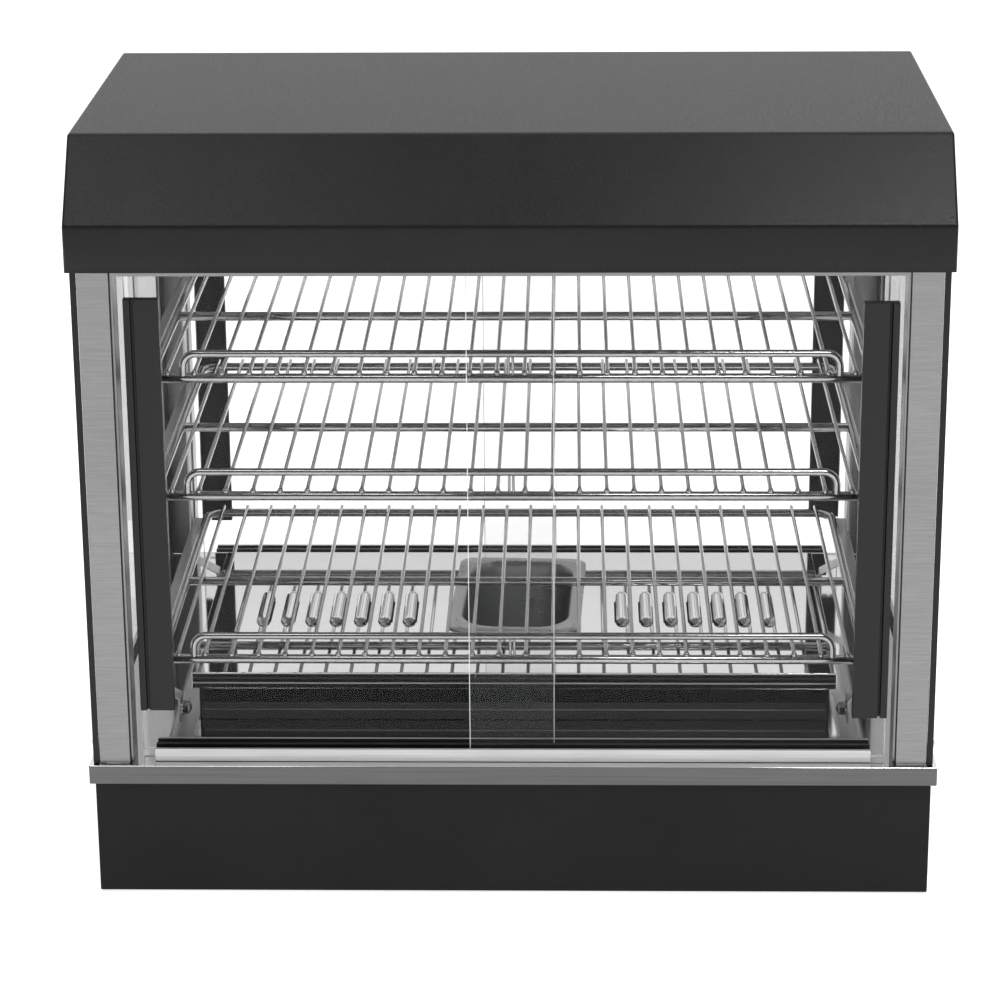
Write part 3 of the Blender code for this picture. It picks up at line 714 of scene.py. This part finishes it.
def make_pan():
    """The drawn pan, turned a little: (half x, half y, corner radius, height) rings from inside its floor
    up over the rim and down its outside."""
    body = frame["nodes"]["water_pan"]["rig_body"]
    low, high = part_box("water_pan")
    centre = (low + high) / 2
    rim_top, floor = high.z, low.z
    turn = Matrix.Rotation(math.radians(PAN_TURN), 4, "Z")
    rings = [
        (0.0330, 0.0660, 0.020, floor + 0.0011), (0.0372, 0.0702, 0.023, floor + 0.0035),
        (0.0430, 0.0760, 0.028, rim_top - 0.006), (0.0443, 0.0773, 0.029, rim_top - 0.0014),
        (0.0453, 0.0783, 0.030, rim_top - 0.0002), (0.0466, 0.0796, 0.031, rim_top),
        (0.0535, 0.0865, 0.013, rim_top), (0.0548, 0.0878, 0.014, rim_top - 0.0004),
        (0.0550, 0.0880, 0.014, rim_top - 0.0013), (0.0540, 0.0870, 0.013, rim_top - 0.0014),
        (0.0470, 0.0800, 0.031, rim_top - 0.0011), (0.0455, 0.0785, 0.030, rim_top - 0.0030),
        (0.0385, 0.0715, 0.023, floor + 0.0028), (0.0340, 0.0670, 0.020, floor),
    ]
    bm = bmesh.new()
    loops = []
    for half_x, half_y, radius, z in rings:
        outline = rounded_rectangle(half_x, half_y, radius, 10)
        middle = Vector((centre.x, centre.y, z))
        loops.append([bm.verts.new(turn @ Vector((a, b, 0)) + middle) for a, b in outline])
    for first, second in zip(loops, loops[1:]):
        for i in range(len(first)):
            j = (i + 1) % len(first)
            bm.faces.new((first[i], first[j], second[j], second[i]))
    bm.faces.new(loops[0])
    bm.faces.new(loops[-1])
    pan = piece_from(bm, "water_pan_drawn", ["pan"], 50.0)
    settle(pan, body, "polished_steel", "water_pan")


def make_box_rib():
    """A flat band, its lighter tone a painted reflection, with a fine pressed rib along the lower part of
    the box's front and rear faces.
    """
    low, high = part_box("heater_box")
    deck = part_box("rim_frame")[1].z
    bm = bmesh.new()
    for face, out in ((low.y, -1), (high.y, 1)):
        y0, y1 = sorted((face + out * 0.0003, face - out * 0.0005))
        add_box(bm, (low.x + 0.002, y0, deck + BAND_LOW), (high.x - 0.002, y1, deck + BAND_HIGH))
        line = [(low.x + 0.004, face, deck + RIB_HEIGHT), (high.x - 0.004, face, deck + RIB_HEIGHT)]
        first_face = len(bm.faces)
        add_tube(bm, line, RIB_RADIUS, 8)
        bm.faces.ensure_lookup_table()
        for made in bm.faces[first_face:]:
            made.material_index = 1
    band = piece_from(bm, "heater_box_reflection_band", ["band", "post"])
    settle(band, CABINET, "polished_steel")


def make_heater():
    make_plate()
    make_pan()
    finished("heater_box", "box", "polished_steel", 0.0004)
    make_box_rib()


# Racks, nuts and screws ----------------------------------------------------------


def make_nut(node, sign):
    """A domed nut on a washer, its axis along X."""
    low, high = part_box(node)
    centre = (low + high) / 2
    face = high.x if sign > 0 else low.x
    radius = (high.z - low.z) / 2
    bm = bmesh.new()
    washer = [(0, 0), (0, radius), (0.0009, radius), (0.0012, radius * 0.95), (0.0012, 0)]
    dome = [(0.0050, radius * 0.80), (0.0058, radius * 0.72), (0.0068, radius * 0.52)]
    dome += [(0.0075, radius * 0.26), (0.0078, 0)]
    for profile in (washer, dome):
        add_turned(bm, [(-sign * a, r) for a, r in profile], (face, centre.y, centre.z), "X", 28)
    flats = [
        (centre.y + radius * 0.93 * math.cos(math.radians(60 * i + 30)),
         centre.z + radius * 0.93 * math.sin(math.radians(60 * i + 30)))
        for i in range(6)
    ]
    start, end = sorted((face - sign * 0.0011, face - sign * 0.0052))
    extruded(bm, flats, start, end, "X")
    nut = piece_from(bm, f"{node}_domed", ["nut"], 30.0)
    settle(nut, CABINET, "fastener", node)


def make_screw(node, sign):
    """A pan-head screw with a cross recess, its axis along X."""
    low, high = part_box(node)
    centre = (low + high) / 2
    base = low.x if sign > 0 else high.x
    radius, height = (high.z - low.z) / 2, high.x - low.x
    bm = bmesh.new()
    profile = [(0, 0), (0, radius)]
    for i in range(1, 7):
        angle = math.radians(15 * i)
        profile.append((height * (0.25 + 0.75 * math.sin(angle)), radius * math.cos(angle)))
    profile[-1] = (profile[-1][0], 0)
    add_turned(bm, [(sign * a, r) for a, r in profile], (base, centre.y, centre.z), "X", 24)
    tip = base + sign * (height + 0.00001)
    # the cross recess is two near-black bars: painted shade
    for half_y, half_z in ((0.0016, 0.0003), (0.0003, 0.0016)):
        x0, x1 = sorted((tip - sign * 0.0006, tip - sign * 0.00015))
        near = (x0, centre.y - half_y, centre.z - half_z)
        add_box(bm, near, (x1, centre.y + half_y, centre.z + half_z), 1)
    screw = piece_from(bm, f"{node}_head", ["nut", "shadow"], 35.0)
    settle(screw, CABINET, "fastener", node)


def make_racks():
    for side, sign in SIDES:
        finished(f"side_rack_{side}", "rack", "brushed_steel", 0.0003)
        for end, _ in ENDS:
            make_nut(f"rack_nut_{end}_{side}", sign)
            make_screw(f"glass_screw_{end}_{side}", sign)


# Controls, lamps and inner pieces -----------------------------------------------

KNOB_FLUTES = 24
DIAL_MARKS = 11
DIAL_STEP = 28.0


def make_knob():
    """A fluted cap on a skirt, with a pale pointer line set into the cap."""
    low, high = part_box("thermostat_knob")
    centre = (low + high) / 2
    radius, length = (high.x - low.x) / 2, high.y - low.y
    bm = bmesh.new()
    skirt = [
        (0, 0), (0, radius * 0.97), (0.0006, radius), (0.0018, radius), (0.0034, radius * 0.86),
        (0.0040, radius * 0.80), (0.0040, 0),
    ]
    add_turned(bm, skirt, (centre.x, low.y, centre.z), "Y", 64)
    count = 96
    rings = []
    sides = (0.0036, 0.80), (length - 0.0016, 0.72), (length - 0.0008, 0.69), (length - 0.0004, 0.64)
    for along, scale in sides:
        ring = []
        for i in range(count):
            angle = 2 * math.pi * i / count
            flute = 1.0 - 0.035 * (0.5 + 0.5 * math.cos(KNOB_FLUTES * angle)) * (along < length - 0.0005)
            size = radius * scale * flute
            x, z = centre.x + size * math.cos(angle), centre.z + size * math.sin(angle)
            ring.append(bm.verts.new((x, low.y + along, z)))
        rings.append(ring)
    for first, second in zip(rings, rings[1:]):
        for i in range(count):
            j = (i + 1) % count
            bm.faces.new((first[i], first[j], second[j], second[i]))
    bm.faces.new(rings[0])
    bm.faces.new(rings[-1])
    pointer_low = (centre.x - 0.0008, high.y - 0.0009, centre.z + radius * 0.12)
    add_box(bm, pointer_low, (centre.x + 0.0008, high.y, centre.z + radius * 0.58), 1)
    knob = piece_from(bm, "thermostat_knob_fluted", ["plastic", "print"], 35.0)
    settle(knob, "thermostat_knob", "black_plastic", "thermostat_knob")
    make_dial(centre, radius)


def make_dial(centre, radius):
    """Printed setting marks on the panel round the knob, growing from low to high."""
    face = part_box("rear_control_panel")[1].y
    bm = bmesh.new()
    for i in range(DIAL_MARKS):
        turn = Matrix.Rotation(math.radians(DIAL_STEP * i), 4, "Y")
        length = 0.0022 + 0.0002 * i
        away = Matrix.Translation((0, 0, radius + 0.0032 + length / 2))
        size = Matrix.Diagonal((0.0009, 0.0004, length, 1.0))
        place = Matrix.Translation((centre.x, face + 0.0001, centre.z))
        bmesh.ops.create_cube(bm, size=1.0, matrix=place @ turn @ away @ size)
    dial = piece_from(bm, "dial_marks", ["print"], 0)
    settle(dial, CABINET, "black_plastic")


def make_controls():
    """The knob, two rockers in their housings, the signal lamp and the cord gland."""
    make_knob()
    for name in ("power", "light"):
        finished(f"{name}_switch_housing", "plastic", "black_plastic", 0.0005)
        body = f"{name}_rocker"
        finished(body, "plastic", "black_plastic", 0.0004, body, 3)
    low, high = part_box("indicator_lamp")
    centre = (low + high) / 2
    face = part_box("rear_control_panel")[1].y
    bm = bmesh.new()
    bezel = [(-0.010, 0), (-0.010, 0.0048), (0.0002, 0.0048), (0.0002, 0.0068)]
    bezel += [(0.0012, 0.0068), (0.0018, 0.0060), (0.0018, 0)]
    add_turned(bm, bezel, (centre.x, face, centre.z), "Y", 40)
    dome = [(0.0016, 0.0054)] + domed(0.0016, 0.0046, 0.0054) + [(0.0062, 0)]
    first_face = len(bm.faces)
    add_turned(bm, dome, (centre.x, face, centre.z), "Y", 40)
    bm.faces.ensure_lookup_table()
    for made in bm.faces[first_face:]:
        made.material_index = 1
    lamp = piece_from(bm, "indicator_lens", ["plastic", "signal"], 40.0)
    settle(lamp, CABINET, "signal_lens", "indicator_lamp")
    finished("cord_inlet_gland", "plastic", "black_plastic", 0.0004, angle=50.0)


def make_lamps():
    """A tubular lamp in a ceramic holder on each side, its tip towards the middle."""
    for side, sign in SIDES:
        finished(f"lamp_holder_{side}", "ceramic", "ceramic", 0.0008, angle=50.0)
        node = f"lamp_{side}"
        low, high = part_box(node)
        centre = (low + high) / 2
        radius, length = (high.z - low.z) / 2, high.x - low.x
        bm = bmesh.new()
        profile = [(0, 0), (0, radius * 0.72), (length * 0.10, radius * 0.78), (length * 0.22, radius)]
        straight = length - radius
        profile += [(straight, radius)] + domed(straight, radius, radius) + [(length, 0)]
        start = high.x if sign > 0 else low.x
        add_turned(bm, [(-sign * a, r) for a, r in profile], (start, centre.y, centre.z), "X", 36)
        settle(piece_from(bm, f"{node}_bulb", ["lamp_glass"], 40.0), CABINET, "lamp_glass", node)


def dress_inner_nodes():
    """Gives the carried-over nodes, which keep their own shapes, a finished surface."""
    looks = {"heating_element": "galvanised", "terminal_block": "plastic", "thermostat_body": "ceramic"}
    for node, look in looks.items():
        mesh = frame["nodes"][node].data
        mesh.materials.clear()
        mesh.materials.append(LOOKS[look])


# Camera, floor and light ---------------------------------------------------------

MIDDLE = (0.0, 0.0, 0.3)
LIGHTS = (
    # name, place, aim, size in metres, power in watts
    ("overhead_soft", (0.0, 0.4, 3.2), MIDDLE, (3.2, 2.4), 34.0),
    ("front_left_soft", (-2.8, -2.2, 1.7), MIDDLE, (1.0, 1.8), 9.0),
    ("front_right_soft", (2.8, -1.8, 1.9), MIDDLE, (1.0, 1.8), 11.0),
    ("slope_sheen_right", (0.80, -1.75, 2.8), (0.3, -0.2, 0.57), (0.8, 0.6), 30.0),
    ("slope_sheen_left", (-0.80, -1.55, 2.8), (-0.2, -0.2, 0.57), (0.9, 0.6), 10.0),
)
FLOOR_HALF = 14.0
FLOOR_GLOW = 0.66


def make_camera():
    data = bpy.data.cameras.new("camera")
    data.sensor_width = SENSOR
    data.lens = CAMERA_LENS
    data.shift_y = CAMERA_SHIFT_Y
    data.clip_end = 100.0
    camera = bpy.data.objects.new("camera", data)
    bpy.context.scene.collection.objects.link(camera)
    camera.location = CAMERA_PLACE
    look = Euler((math.radians(90 - CAMERA_PITCH), 0, math.radians(-CAMERA_YAW)), "XYZ").to_matrix()
    camera.rotation_euler = (look @ Matrix.Rotation(math.radians(CAMERA_ROLL), 3, "Z")).to_euler()
    bpy.context.scene.camera = camera


def make_area(name, place, aim, size, power):
    data = bpy.data.lights.new(name, "AREA")
    data.shape = "RECTANGLE"
    data.size, data.size_y = size
    data.energy = power
    light = bpy.data.objects.new(name, data)
    bpy.context.scene.collection.objects.link(light)
    light.location = place
    light.rotation_euler = (Vector(aim) - Vector(place)).to_track_quat("-Z", "Y").to_euler()


def make_studio():
    bm = bmesh.new()
    bmesh.ops.create_grid(bm, x_segments=1, y_segments=1, size=FLOOR_HALF)
    mesh = bpy.data.meshes.new("studio_floor")
    bm.to_mesh(mesh)
    bm.free()
    pale = new_material("pale_floor", (0.88, 0.88, 0.88), 0.9, Specular_IOR_Level=0.1)
    shader = pale.node_tree.nodes["Principled BSDF"]
    shader.inputs["Emission Color"].default_value = WHITE
    shader.inputs["Emission Strength"].default_value = FLOOR_GLOW
    mesh.materials.append(pale)
    floor = bpy.data.objects.new("studio_floor", mesh)
    bpy.context.scene.collection.objects.link(floor)
    for light in LIGHTS:
        make_area(*light)
    make_world()


def world_range(nodes, links, source, low, high):
    """Maps a direction's component from low to high onto 0 to 1."""
    ramp = nodes.new("ShaderNodeMapRange")
    ramp.inputs["From Min"].default_value = low
    ramp.inputs["From Max"].default_value = high
    links.new(source, ramp.inputs["Value"])
    return ramp.outputs["Result"]


def world_mix(nodes, links, factor, first, second):
    mix = nodes.new("ShaderNodeMix")
    mix.data_type = "RGBA"
    links.new(factor, mix.inputs["Factor"])
    for label, value in (("A", first), ("B", second)):
        if isinstance(value, float):
            mix.inputs[label].default_value = (value, value, value, 1.0)
        else:
            links.new(value, mix.inputs[label])
    return mix.outputs["Result"]


def make_world():
    """Surround: white at the horizon; above it dark in front, and grey, then white, behind."""
    world = bpy.data.worlds.new("studio")
    world.use_nodes = True
    nodes, links = world.node_tree.nodes, world.node_tree.links
    place = nodes.new("ShaderNodeTexCoord")
    split = nodes.new("ShaderNodeSeparateXYZ")
    links.new(place.outputs["Generated"], split.inputs["Vector"])
    behind = world_range(nodes, links, split.outputs["Y"], -0.6, 0.44)
    above = world_range(nodes, links, split.outputs["Z"], 0.10, 0.22)
    higher = world_range(nodes, links, split.outputs["Z"], 0.27, 0.36)
    rear = world_mix(nodes, links, higher, 0.45, 0.95)
    surround = world_mix(nodes, links, behind, 0.10, rear)
    colour = world_mix(nodes, links, above, 1.0, surround)
    links.new(colour, nodes["Background"].inputs["Color"])
    bpy.context.scene.world = world
    bpy.context.scene.view_settings.view_transform = "Standard"


make_camera()
make_studio()
make_shells()
make_doors()
for shelf_node in SHELVES:
    make_shelf(shelf_node)
make_heater()
make_racks()
make_controls()
make_lamps()
dress_inner_nodes()

bpy.context.view_layer.update()
